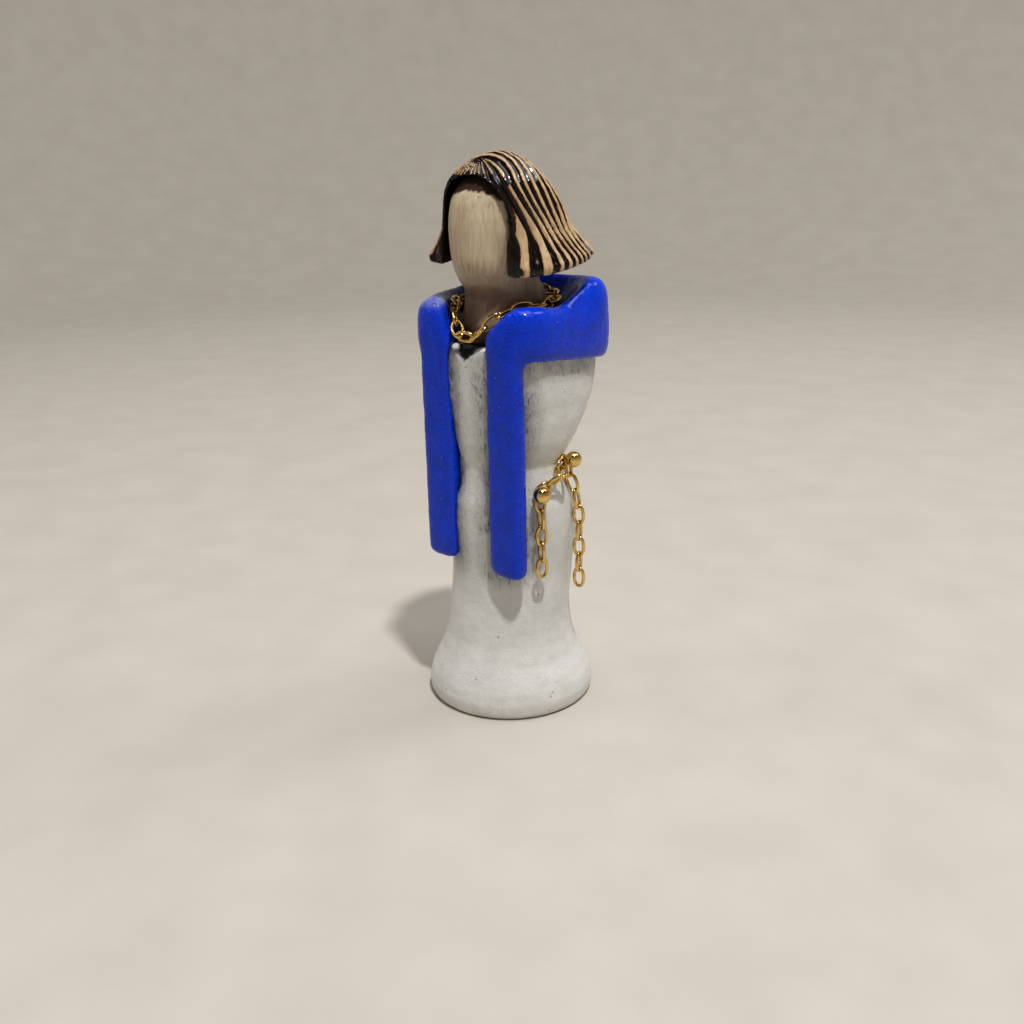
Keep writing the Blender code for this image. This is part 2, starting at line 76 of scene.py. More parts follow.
# ---- sizes, in millimetres
DRESS_VOXEL = 0.26
MANTLE_VOXEL = 0.23
HEAD_VOXEL = 0.32
HAIR_VOXEL = 0.19
NEAR_PAINT = 4.4          # reach of the rough, speckled paint and the painted shade beside the mantle
NECKLINE_DEPTH = 2.4      # of the V in the front of the dress
NECKLINE_HALF_WIDTH = 2.7
NECKLINE_X = -0.5         # of the V's lowest point
GROOVE_SPACING = 1.65     # between the grooves of the hair
GROOVE_DEPTH = 0.5
PARTING_HALF_LENGTH = 4.6 # the grooves leave the crown on both sides of this line
FRONT_WHORL = 6.2         # radius where the grooves round its front end are that far apart
BACK_WHORL = 7.5          # and round its back end
WIRE_FULLNESS = 1.20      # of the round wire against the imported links' coarse one
PIN_WIRE = 0.25           # radius of a pin's shank
OVAL_SQUARENESS = 2.25    # 2 is an ellipse
BEAD_SWELL = 0.10         # how much thicker a link's wire is at its soldered bead
BEAD_LENGTH = 0.22

# ---- heights above the floor, in millimetres; a pair is where a change starts and ends
COLLAR_FLOOR = (62.0, 64.0)     # painted shade inside the collar
COLLAR_RIM = 74.0               # and where they stop
SHOULDER_TOP = (66.0, 69.0)     # painted reflection on the shoulder top
NECK_FOOT = 69.0                # painted shade: the neck is black below this
NECK_SHADE = (79.5, 73.5)       # painted brown shade, downwards
HAIRLINE = (87.5, 90.8)         # the burnt edge of the head grows wider, with painted shade under the fringe
HAIRLINE_TEETH = (87.0, 89.0)   # and toothed
SPINE_HEIGHTS = (80.0, 84.0, 88.0, 91.3, 95.8)  # of the line that the grooves run round
SPINE_DEPTHS = (2.4, 1.4, 0.3, -0.6, -0.3)      # and how far back it is at each
RIM_TOP = 83.6                  # the grooves of the hair widen below this
TAPER_TOP = 87.5                # having narrowed below this
TRIM_TOP = 91.0                 # the trimmed front edge lies below this
FACE_EDGE_TOP = 92.4            # and so does the burnt band beside the face
FRINGE_TOP = 92.5
CROWN_TOP = 95.6                # the grooves are shallow above this

# ---- the view, in metres
CAMERA_PLACE = (0.1158, -0.1367, 0.0958)
CAMERA_AIM = (-0.608, 0.724, -0.326)
CAMERA_ROLL = -1.16             # degrees
LIGHTS_AIM = (0.0, 0.0, 0.06)


# ---------------------------------------------------------------- mesh work

def keep(piece):
    bpy.context.scene.collection.objects.link(piece)
    return piece


def bake_modifiers(piece):
    """Swap a piece's mesh for the one that its modifiers make."""
    graph = bpy.context.evaluated_depsgraph_get()
    mesh = bpy.data.meshes.new_from_object(piece.evaluated_get(graph))
    piece.modifiers.clear()
    piece.data = mesh
    mesh.name = piece.name


def fine_copy(node, name, voxel, rounds):
    """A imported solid, copied, welded, remeshed with small faces and relaxed."""
    piece = keep(bpy.data.objects.new(name, frame["nodes"][node].data.copy()))
    bm = bmesh.new()
    bm.from_mesh(piece.data)
    bmesh.ops.remove_doubles(bm, verts=bm.verts, dist=0.001 * MM)
    bm.to_mesh(piece.data)
    bm.free()
    piece.data.materials.clear()
    remesh = piece.modifiers.new("fine faces", "REMESH")
    remesh.mode = "VOXEL"
    remesh.voxel_size = voxel * MM
    relax = piece.modifiers.new("relax", "SMOOTH")
    relax.factor = 0.5
    relax.iterations = rounds
    bake_modifiers(piece)
    return piece


def points_of(mesh):
    co = np.empty(len(mesh.vertices) * 3, np.float32)
    mesh.vertices.foreach_get("co", co)
    return co.reshape(-1, 3).astype(float) / MM


def normals_of(mesh):
    normals = np.empty(len(mesh.vertices) * 3, np.float32)
    mesh.vertex_normals.foreach_get("vector", normals)
    return normals.reshape(-1, 3).astype(float)


def set_points(mesh, points):
    mesh.vertices.foreach_set("co", (points * MM).astype(np.float32).ravel())
    mesh.update()
    mesh.shade_smooth()


def push(mesh, amount):
    """Move every point along its normal by its own amount."""
    set_points(mesh, points_of(mesh) + normals_of(mesh) * amount[:, None])


def paint_mask(mesh, name, values):
    layer = mesh.attributes.new(name, "FLOAT", "POINT")
    layer.data.foreach_set("value", np.clip(values, 0.0, 1.0).astype(np.float32))


def lumps(points, size, seed):
    """Smooth noise between -1 and 1 with features of about the given size."""
    shifted = points / size + np.array((seed, 3.7 * seed, -2.3 * seed))
    return np.array([noise.noise(Vector(p)) for p in shifted])


def ease(values, low, high):
    t = np.clip((values - low) / (high - low), 0.0, 1.0)
    return t * t * (3 - 2 * t)


def distance_to(points, node):
    """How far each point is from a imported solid."""
    mesh = frame["nodes"][node].data
    mesh.calc_loop_triangles()
    corners = [tuple(v.co / MM) for v in mesh.vertices]
    tree = BVHTree.FromPolygons(corners, [tuple(t.vertices) for t in mesh.loop_triangles])
    return np.array([tree.find_nearest(Vector(p))[3] for p in points])


def mesh_from(bm, name):
    mesh = bpy.data.meshes.new(name)
    bm.to_mesh(mesh)
    bm.free()
    mesh.shade_smooth()
    return mesh


def spun(profile, unit, steps, weld):
    """A profile of (radius, height) pairs turned round Z, its doubled points welded."""
    bm = bmesh.new()
    verts = [bm.verts.new(Vector((r, 0.0, z)) * unit) for r, z in profile]
    edges = [bm.edges.new(pair) for pair in zip(verts, verts[1:])]
    bmesh.ops.spin(bm, geom=verts + edges, axis=(0, 0, 1), cent=(0, 0, 0),
                   angle=2 * math.pi, steps=steps)
    bmesh.ops.remove_doubles(bm, verts=bm.verts, dist=weld)
    return bm


def facing(direction, forward):
    """The turn that points an object's forward axis along a direction."""
    return direction.to_track_quat(forward, "Y").to_matrix().to_4x4()


# ---------------------------------------------------------------- shader helpers

class Nodes:
    """Short calls for building a node tree."""

    def __init__(self, tree):
        self.tree = tree

    def add(self, kind, **settings):
        node = self.tree.nodes.new("ShaderNode" + kind)
        for name, value in settings.items():
            setattr(node, name, value)
        return node

    def link(self, source, target):
        if isinstance(source, bpy.types.NodeSocket):
            self.tree.links.new(source, target)
        else:
            target.default_value = source

    def noise(self, where, scale, detail=3.0, roughness=0.5):
        node = self.add("TexNoise")
        self.link(where, node.inputs["Vector"])
        self.link(scale, node.inputs["Scale"])
        node.inputs["Detail"].default_value = detail
        node.inputs["Roughness"].default_value = roughness
        return node.outputs["Fac"]

    def ramp(self, value, stops):
        node = self.add("ValToRGB")
        while len(node.color_ramp.elements) < len(stops):
            node.color_ramp.elements.new(0.5)
        for element, (place, colour) in zip(node.color_ramp.elements, stops):
            element.position = place
            element.color = (*colour, 1.0)
        self.link(value, node.inputs["Fac"])
        return node.outputs["Color"]

    def spread(self, value, low, high, to_low=0.0, to_high=1.0):
        node = self.add("MapRange")
        self.link(value, node.inputs["Value"])
        for name, number in (("From Min", low), ("From Max", high),
                             ("To Min", to_low), ("To Max", to_high)):
            self.link(number, node.inputs[name])
        return node.outputs["Result"]

    def maths(self, operation, first, second, clamp=False):
        node = self.add("Math", operation=operation, use_clamp=clamp)
        self.link(first, node.inputs[0])
        self.link(second, node.inputs[1])
        return node.outputs[0]

    def mix(self, share, first, second, blend="MIX"):
        node = self.add("Mix", data_type="RGBA", blend_type=blend)
        self.link(share, node.inputs["Factor"])
        a, b = [socket for socket in node.inputs if socket.type == "RGBA"]
        self.link(first, a)
        self.link(second, b)
        return [socket for socket in node.outputs if socket.type == "RGBA"][0]

    def over(self, colour, mask, share, tint):
        """A colour with a share of a tint laid over it where the mask is."""
        return self.mix(self.maths("MULTIPLY", mask, share), colour, (*tint, 1.0))

    def stretched(self, where, scale):
        node = self.add("Mapping")
        self.link(where, node.inputs["Vector"])
        node.inputs["Scale"].default_value = scale
        return node.outputs["Vector"]

    def place(self):
        return self.add("TexCoord").outputs["Object"]

    def mask(self, name):
        return self.add("Attribute", attribute_name=name).outputs["Fac"]


# ------------------------------------------------------------ effects used by several materials

def new_group(name, inputs, outputs):
    """An empty node group with named sockets: numbers and colours in, whatever is named out."""
    tree = bpy.data.node_groups.new(name, "ShaderNodeTree")
    for label, value in inputs.items():
        is_number = isinstance(value, float)
        kind = "NodeSocketFloat" if is_number else "NodeSocketColor"
        socket = tree.interface.new_socket(name=label, in_out="INPUT", socket_type=kind)
        socket.default_value = value if is_number else (*value, 1.0)
    for label, kind in outputs.items():
        tree.interface.new_socket(name=label, in_out="OUTPUT", socket_type="NodeSocket" + kind)
    entry = tree.nodes.new("NodeGroupInput")
    result = tree.nodes.new("NodeGroupOutput")
    return Nodes(tree), entry.outputs, result.inputs


def hand_coat_group():
    """Thick paint put on by hand: lumps, fine pimples and a faint cloudiness."""
    nodes, given, result = new_group(
        "hand-laid coat", {"Lump Scale": 900.0, "Pimple Scale": 4000.0, "Pimples": 0.4},
        {"Cloud": "Float", "Height": "Float"})
    place = nodes.place()
    cloud = nodes.noise(place, given["Lump Scale"], detail=4.0, roughness=0.6)
    pimple = nodes.noise(place, given["Pimple Scale"], detail=2.0, roughness=0.6)
    raised = nodes.spread(pimple, 0.5, 0.78)
    height = nodes.maths("MULTIPLY", raised, given["Pimples"])
    nodes.link(cloud, result["Cloud"])
    nodes.link(nodes.maths("ADD", nodes.maths("MULTIPLY", cloud, 0.5), height), result["Height"])
    return nodes.tree


def specks_group():
    """Scattered small dark specks and scratches of dirt."""
    nodes, given, result = new_group(
        "specks", {"Scale": 2500.0, "Amount": 0.3}, {"Mask": "Float"})
    place = nodes.place()
    cells = nodes.add("TexVoronoi", feature="F1")
    nodes.link(place, cells.inputs["Vector"])
    nodes.link(given["Scale"], cells.inputs["Scale"])
    chosen = nodes.add("SeparateColor")
    nodes.link(cells.outputs["Color"], chosen.inputs["Color"])
    inside = nodes.spread(cells.outputs["Distance"], 0.30, 0.12)
    allowed = nodes.maths("LESS_THAN", chosen.outputs["Red"], given["Amount"])
    nodes.link(nodes.maths("MULTIPLY", inside, allowed), result["Mask"])
    return nodes.tree


def upright_grain_group():
    """Fine wood grain that runs up the figure."""
    nodes, given, result = new_group(
        "upright grain", {"Light": (0.6, 0.5, 0.3), "Dark": (0.4, 0.3, 0.2), "Fineness": 1.0},
        {"Color": "Color", "Streak": "Float"})
    place = nodes.place()
    across = nodes.stretched(place, (2600.0, 2600.0, 130.0))
    wide = nodes.stretched(place, (500.0, 500.0, 45.0))
    streak = nodes.noise(across, given["Fineness"], detail=4.0, roughness=0.65)
    band = nodes.noise(wide, 1.0, detail=2.0)
    both = nodes.maths("ADD", nodes.maths("MULTIPLY", streak, 0.65),
                       nodes.maths("MULTIPLY", band, 0.35))
    share = nodes.spread(both, 0.36, 0.64)
    nodes.link(nodes.mix(share, given["Dark"], given["Light"]), result["Color"])
    nodes.link(streak, result["Streak"])
    return nodes.tree


hand_coat = hand_coat_group()
specks = specks_group()
upright_grain = upright_grain_group()


def use(nodes, tree, **values):
    """Place a group in a material with its own values; underscores stand for spaces."""
    node = nodes.add("Group")
    node.node_tree = tree
    for name, value in values.items():
        socket = node.inputs[name.replace("_", " ")]
        socket.default_value = value if isinstance(value, float) else (*value, 1.0)
    return node.outputs


# ---------------------------------------------------------------- materials

def new_material(name, **sockets):
    """A material with one Principled shader; returns it with its nodes and shader."""
    material = bpy.data.materials.new(name)
    material.use_nodes = True
    shader = material.node_tree.nodes["Principled BSDF"]
    for label, value in sockets.items():
        shader.inputs[label.replace("_", " ")].default_value = value
    return material, Nodes(material.node_tree), shader


def add_bump(nodes, shader, height, depth):
    bump = nodes.add("Bump")
    bump.inputs["Strength"].default_value = 1.0
    bump.inputs["Distance"].default_value = depth * MM
    nodes.link(height, bump.inputs["Height"])
    nodes.link(bump.outputs["Normal"], shader.inputs["Normal"])


def white_paint():
    """Pearl-white paint, speckled, and rough and grey beside the blue: the grey is partly worn
    paint and partly painted shade under the mantle.
    """
    material, nodes, shader = new_material(
        "pearl white paint", Coat_Roughness=0.22, Specular_IOR_Level=0.3)
    place = nodes.place()
    coat = use(nodes, hand_coat, Lump_Scale=260.0, Pimple_Scale=2600.0, Pimples=0.25)
    near = nodes.mask("near_blue_wear_and_shade")
    fine = nodes.noise(place, 3200.0, detail=6.0, roughness=0.75)
    strokes = nodes.noise(nodes.stretched(place, (2200.0, 2200.0, 700.0)), 1.0, detail=5.0,
                          roughness=0.7)
    patches = nodes.noise(place, 260.0, detail=3.0)
    # grey and dark strokes beside the mantle: partly worn, rough paint and partly painted shade
    # under the mantle
    worn_and_shaded = nodes.maths("MULTIPLY", near, nodes.spread(patches, 0.32, 0.60, 0.3, 1.0),
                       clamp=True)
    scuffed = nodes.maths("MULTIPLY", worn_and_shaded, nodes.spread(strokes, 0.50, 0.62), clamp=True)
    rubbed = nodes.maths("MULTIPLY", nodes.spread(fine, 0.60, 0.72), 0.30, clamp=True)
    dirt = use(nodes, specks, Scale=1300.0, Amount=0.022)["Mask"]
    base = nodes.ramp(coat["Cloud"], [(0.3, (0.59, 0.595, 0.58)), (0.7, (0.70, 0.71, 0.70))])
    grey = nodes.over(base, worn_and_shaded, 0.75, (0.27, 0.27, 0.27))
    scuffs = nodes.over(grey, scuffed, 0.85, (0.045, 0.045, 0.055))
    scuffs = nodes.mix(rubbed, scuffs, (0.30, 0.29, 0.27, 1.0))
    colour = nodes.over(scuffs, dirt, 0.7, (0.05, 0.045, 0.05))
    # painted shade: the V cut in the neckline is painted near black, matt and without coat
    colour = nodes.mix(nodes.mask("neckline_shade"), colour, (0.004, 0.003, 0.003, 1.0))
    nodes.link(colour, shader.inputs["Base Color"])
    nodes.link(nodes.spread(nodes.mask("neckline_shade"), 0.0, 1.0, 0.2, 0.0),
               shader.inputs["Coat Weight"])
    gloss = nodes.spread(coat["Cloud"], 0.3, 0.7, 0.34, 0.50)
    nodes.link(nodes.maths("ADD", gloss, nodes.maths("MULTIPLY", nodes.mask("neckline_shade"), 0.4)),
               shader.inputs["Roughness"])
    grit = nodes.maths("MULTIPLY", strokes, nodes.spread(near, 0.0, 1.0, 0.5, 2.6))
    add_bump(nodes, shader, nodes.maths("ADD", coat["Height"], grit), 0.16)
    return material


def blue_paint():
    """Glossy ultramarine enamel with small lumps, darkened by painted shade inside the collar and
    paled by a painted reflection on the far shoulder's top.
    """
    material, nodes, shader = new_material(
        "ultramarine enamel", Coat_Weight=0.34, Coat_Roughness=0.07, Specular_IOR_Level=0.06)
    coat = use(nodes, hand_coat, Lump_Scale=420.0, Pimple_Scale=1300.0, Pimples=0.7)
    place = nodes.place()
    mottle_noise = nodes.noise(place, 420.0, detail=5.0, roughness=0.65)
    colour = nodes.ramp(coat["Cloud"], [(0.30, (0.0, 0.026, 0.46)),
                                        (0.70, (0.0, 0.036, 0.62))])
    dusty = use(nodes, specks, Scale=1500.0, Amount=0.02)["Mask"]
    colour = nodes.over(colour, dusty, 0.35, (0.25, 0.33, 0.75))
    # painted shade: the inside of the collar is darkened towards black
    collar_shade = nodes.maths("MULTIPLY", nodes.mask("inside"), nodes.spread(mottle_noise, 0.36, 0.60),
                       clamp=True)
    colour = nodes.mix(collar_shade, colour, (0.004, 0.005, 0.018, 1.0))
    # painted reflection: the top of the far shoulder is paled towards grey-blue
    pale = nodes.maths("MULTIPLY", nodes.mask("shoulder_reflection"), nodes.spread(mottle_noise, 0.30, 0.55),
                       clamp=True)
    colour = nodes.over(colour, pale, 0.7, (0.30, 0.33, 0.42))
    nodes.link(colour, shader.inputs["Base Color"])
    nodes.link(nodes.spread(coat["Cloud"], 0.3, 0.7, 0.22, 0.34), shader.inputs["Roughness"])
    add_bump(nodes, shader, coat["Height"], 0.16)
    return material


def bare_wood():
    """Pale sanded wood with fine upright grain, darkened brown down the neck by painted shade."""
    material, nodes, shader = new_material(
        "pale sanded wood", Coat_Roughness=0.28, Specular_IOR_Level=0.2)
    grain = use(nodes, upright_grain, Light=(0.61, 0.50, 0.35), Dark=(0.36, 0.28, 0.18),
                Fineness=1.0)
    place = nodes.place()
    blotch = nodes.noise(place, 260.0, detail=4.0)
    height = nodes.add("SeparateXYZ")
    nodes.link(place, height.inputs["Vector"])
    # painted shade: the neck darkens to brown towards the collar
    shade_top, shade_full = NECK_SHADE
    down_neck = nodes.spread(height.outputs["Z"], shade_top * MM, shade_full * MM)
    neck_shade = nodes.maths("MULTIPLY", down_neck, nodes.spread(blotch, 0.25, 0.6, 0.55, 1.0))
    colour = nodes.mix(neck_shade, grain["Color"], (0.12, 0.073, 0.05, 1.0))
    pores = use(nodes, specks, Scale=1700.0, Amount=0.03)["Mask"]
    colour = nodes.over(colour, pores, 0.55, (0.12, 0.07, 0.04))
    # dark where the hair meets the face and at the neck foot: partly burn, partly painted shade
    burn_and_shade_mask = nodes.mask("burn_and_shade")
    burnt_and_shaded = nodes.mix(grain["Streak"], (0.006, 0.003, 0.002, 1.0), (0.040, 0.018, 0.009, 1.0))
    colour = nodes.mix(burn_and_shade_mask, colour, burnt_and_shaded)
    nodes.link(colour, shader.inputs["Base Color"])
    smooth = nodes.spread(grain["Streak"], 0.3, 0.7, 0.52, 0.40)
    nodes.link(nodes.maths("ADD", smooth, nodes.maths("MULTIPLY", burn_and_shade_mask, 0.3)),
               shader.inputs["Roughness"])
    nodes.link(nodes.spread(burn_and_shade_mask, 0.0, 1.0, 0.15, 0.0), shader.inputs["Coat Weight"])
    add_bump(nodes, shader, grain["Streak"], 0.035)
    return material


def burnt_wood():
    """Varnished hair: tan ridges, red-brown edges and glossy black grooves."""
    material, nodes, shader = new_material(
        "burnt and varnished wood", Coat_Weight=0.4, Coat_Roughness=0.06,
        Specular_IOR_Level=0.1)
    grain = use(nodes, upright_grain, Light=(0.57, 0.42, 0.25), Dark=(0.32, 0.20, 0.10),
                Fineness=0.8)
    place = nodes.place()
    ragged = nodes.noise(place, 1100.0, detail=5.0, roughness=0.65)
    edge = nodes.maths("ADD", nodes.mask("burn_and_shade"), nodes.spread(ragged, 0.3, 0.7, -0.16, 0.16))
    tint = nodes.ramp(edge, [(0.0, (1.0, 1.0, 1.0)), (0.26, (0.92, 0.84, 0.74)),
                             (0.38, (0.34, 0.17, 0.09)), (0.50, (0.025, 0.010, 0.006)),
                             (1.0, (0.004, 0.002, 0.002))])
    colour = nodes.mix(1.0, grain["Color"], tint, blend="MULTIPLY")
    nodes.link(colour, shader.inputs["Base Color"])
    nodes.link(nodes.spread(edge, 0.3, 0.6, 0.38, 0.22), shader.inputs["Roughness"])
    height = nodes.maths("ADD", nodes.maths("MULTIPLY", ragged, 0.7),
                         nodes.maths("MULTIPLY", grain["Streak"], 0.3))
    add_bump(nodes, shader, height, 0.07)
    return material


def polished_gold():
    """Gold-plated wire with a little tarnish and the faint ripple of polishing."""
    material, nodes, shader = new_material("polished gold plate", Metallic=1.0)
    place = nodes.place()
    cloud = nodes.noise(place, 700.0, detail=4.0)
    ripple = nodes.noise(place, 2600.0, detail=3.0)
    colour = nodes.ramp(cloud, [(0.35, (0.50, 0.30, 0.07)), (0.60, (0.80, 0.56, 0.18))])
    nodes.link(colour, shader.inputs["Base Color"])
    nodes.link(nodes.spread(cloud, 0.3, 0.7, 0.15, 0.07), shader.inputs["Roughness"])
    add_bump(nodes, shader, ripple, 0.018)
    return material


def paper_floor():
    material, nodes, shader = new_material("pale paper", Roughness=0.75)
    fibre = nodes.noise(nodes.place(), 60.0, detail=5.0)
    colour = nodes.ramp(fibre, [(0.35, (0.46, 0.425, 0.375)), (0.65, (0.49, 0.455, 0.40))])
    nodes.link(colour, shader.inputs["Base Color"])
    return material


pearl_white = white_paint()
ultramarine = blue_paint()
sanded_wood = bare_wood()
varnished_hair = burnt_wood()
gold_plate = polished_gold()


def finish(piece, material, slot, body, *nodes):
    """Give a piece its finish and body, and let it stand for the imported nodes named."""
    piece.data.materials.clear()
    piece.data.materials.append(material)
    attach(piece, body)
    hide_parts(*nodes)


# ---------------------------------------------------------------- the carved pieces

def carve_dress():
    """The dress, lumpy from the knife, with a V cut in the top of its front strip and painted
    near-black shade in the V.
    """
    dress = fine_copy("dress_body", "carved_dress", DRESS_VOXEL, 20)
    points = points_of(dress.data)
    x, y, z = points.T
    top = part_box("dress_body")[1].z / MM
    front = ease(-y, 5.0, 7.0)
    ragged = 0.35 * lumps(points, 0.8, 3.9)
    from_middle = np.abs(x - NECKLINE_X) / NECKLINE_HALF_WIDTH
    v_line = top - NECKLINE_DEPTH * (1.0 - from_middle) + ragged
    above = ease(z - v_line, -0.3, 0.3) * front
    points[:, 1] += 0.5 * above
    set_points(dress.data, points)
    gap = distance_to(points, "mantle")
    near = ease(NEAR_PAINT - gap, 0.0, NEAR_PAINT)
    beside = ease(1.1 - gap, 0.0, 1.0)
    standing = ease(z, 0.3, 2.0)
    relief = 0.08 * lumps(points, 5.0, 1.3) + 0.03 * lumps(points, 1.1, 4.1)
    relief += beside * (0.13 * lumps(points, 0.5, 7.7) + 0.10 * lumps(points, 1.3, 2.9))
    push(dress.data, relief * standing)
    # mask of the grey beside the mantle: partly worn paint, partly painted shade
    paint_mask(dress.data, "near_blue_wear_and_shade", near * (z < top - 0.5))
    # mask of the painted shade in the V
    paint_mask(dress.data, "neckline_shade", above)
    finish(dress, pearl_white, "white_paint", FIGURE, "dress_body")


def carve_mantle():
    """The mantle, rounded by its thick enamel, with painted shade inside the collar and a painted
    reflection on the far shoulder's top.
    """
    mantle = fine_copy("mantle", "carved_mantle", MANTLE_VOXEL, 220)
    points, normals = points_of(mantle.data), normals_of(mantle.data)
    relief = 0.24 + 0.09 * lumps(points, 3.2, 2.2) + 0.030 * lumps(points, 0.9, 5.5)
    push(mantle.data, relief)
    x, y, z = points.T
    inward = -(normals[:, 0] * x + normals[:, 1] * (y - 1.0)) / np.hypot(x, y - 1.0)
    # mask of the painted shade inside the collar
    inside = ease(inward, 0.05, 0.6) * ease(z, *COLLAR_FLOOR)
    paint_mask(mantle.data, "inside", inside * ease(COLLAR_RIM - z, 0.0, 5.0))
    # mask of the painted reflection on the far shoulder's top
    paint_mask(mantle.data, "shoulder_reflection", ease(-x, 5.0, 7.5) * ease(normals[:, 2], 0.3, 0.8)
               * ease(z, *SHOULDER_TOP))
    finish(mantle, ultramarine, "blue_paint", FIGURE, "mantle")


def carve_head():
    """The blank head, smooth, burnt dark where the hair meets it, with painted shade under the
    fringe and at the foot of the neck.
    """
    head = fine_copy("head_and_neck", "carved_head", HEAD_VOXEL, 14)
    points = points_of(head.data)
    push(head.data, 0.05 * lumps(points, 5.0, 6.1))
    z = points[:, 2]
    gap = distance_to(points, "hair")
    # dark band along the hair: a burnt edge at the cheeks, widened by painted shade under the
    # fringe
    reach = 0.45 + 2.6 * ease(z, *HAIRLINE)
    ragged = 0.25 * lumps(points, 0.8, 9.2)
    teeth = 0.9 * lumps(points * (1.0, 1.0, 0.15), 0.75, 5.1) * ease(z, *HAIRLINE_TEETH)
    burn_and_shade = ease(reach - gap + ragged + teeth, 0.0, 0.35)
    # painted shade: the foot of the neck inside the collar is black
    neck_foot_shade = ease(NECK_FOOT - z + 1.2 * ragged, 0.0, 1.4)
    paint_mask(head.data, "burn_and_shade", np.maximum(burn_and_shade, neck_foot_shade))
    finish(head, sanded_wood, "bare_wood", FIGURE, "head_and_neck")


def groove_lanes(points):
    """Where a point lies between two grooves, from -0.5 to 0.5, and which ridge it is on."""
    x, y, z = points.T
    centre = np.interp(z, SPINE_HEIGHTS, SPINE_DEPTHS)
    depth = y - centre
    along = np.clip(depth, -PARTING_HALF_LENGTH, PARTING_HALF_LENGTH)
    turn = np.arctan2(np.abs(x), -(depth - along))
    turn = np.where(np.abs(depth) < PARTING_HALF_LENGTH, QUARTER_TURN, turn)
    travel = along + np.where(turn < QUARTER_TURN, FRONT_WHORL * (turn - QUARTER_TURN),
                              BACK_WHORL * (turn - QUARTER_TURN))
    travel += 0.45 * np.sin(z / 2.6 + 0.4 * travel) + 0.5 * lumps(points, 6.0, 3.3)
    lane = travel / GROOVE_SPACING
    ridge = np.floor(lane)
    return lane - ridge - 0.5, ridge + 50.0 * (x > 0)


def chance(number):
    """A steady value from 0 to 1 that looks random, for each whole number."""
    return np.modf(np.abs(np.sin(number * 12.9898) * 43758.5453))[0]


def carve_hair():
    """The bob: grooves run from the parting down to the rim, burnt black and varnished."""
    hair = fine_copy("hair", "carved_hair", HAIR_VOXEL, 30)
    points, normals = points_of(hair.data), normals_of(hair.data)
    x, y, z = points.T
    lane, ridge = groove_lanes(points)
    flank = np.hypot(x, y - 0.5)
    outside = (normals[:, 0] * x + normals[:, 1] * (y - 0.5)) / np.maximum(flank, 0.01)
    outside = ease(np.maximum(outside, normals[:, 2]), 0.0, 0.35)
    half_width = 0.33 + 0.10 * (chance(ridge) - 0.5)
    half_width = half_width * (1.0 - 0.50 * ease(TAPER_TOP - z, 0.0, 4.5))
    half_width = half_width + 0.12 * ease(RIM_TOP - z, 0.0, 2.6)
    groove = ease(half_width + 0.08 - np.abs(lane), 0.0, 0.16)
    shape = np.cos(np.clip(np.abs(lane) / (half_width + 0.12), 0.0, 1.0) * QUARTER_TURN)
    crown = ease(CROWN_TOP - z, 0.0, 0.8)
    push(hair.data, -GROOVE_DEPTH * shape ** 1.4 * outside * (0.5 + 0.5 * crown)
         + 0.05 * lumps(points, 0.9, 8.8))
    ragged = 0.5 * lumps(points, 0.9, 4.4)
    trimmed = ease(-normals[:, 1], 0.70, 0.92) * ease(TRIM_TOP - z, 0.0, 1.0)
    trimmed *= ease(-y, 3.5, 4.5)
    beside_face = ease(7.0 + ragged - np.abs(x), 0.0, 0.8) * ease(-y + ragged, 4.2, 5.4)
    beside_face *= ease(FACE_EDGE_TOP - z, 0.0, 1.2)
    # the black lower edge of the fringe: partly burnt, partly painted shade over the forehead
    fringe_edge = ease(FRINGE_TOP + ragged - z, 0.0, 0.5) * ease(-y, 5.0, 7.0)
    fringe_edge *= np.abs(x) < 8.0
    whorl = ease(1.3 - np.hypot(x, y + PARTING_HALF_LENGTH + 0.5), 0.0, 0.6)
    burn_and_shade = np.maximum.reduce(
        [groove * 0.95, 1.0 - outside, trimmed, beside_face, fringe_edge, whorl])
    paint_mask(hair.data, "burn_and_shade", burn_and_shade)
    finish(hair, varnished_hair, "burnt_wood", FIGURE, "hair")


# ---------------------------------------------------------------- pins and chain links

def place_of(node):
    """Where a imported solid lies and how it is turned, and its half width, thickness, length."""
    points = points_of(frame["nodes"][node].data)
    spread = points - points.mean(0)
    _, directions = np.linalg.eigh(spread.T @ spread)
    thin, wide, long = directions.T
    if np.dot(np.cross(wide, thin), long) < 0:
        thin = -thin
    across = [((points @ d).max() + (points @ d).min()) / 2 for d in (wide, thin, long)]
    middle = wide * across[0] + thin * across[1] + long * across[2]
    half = [np.ptp(points @ d) / 2 for d in (wide, thin, long)]
    turn = Matrix((wide, thin, long)).transposed().to_4x4()
    return Matrix.Translation(Vector(middle) * MM) @ turn, half


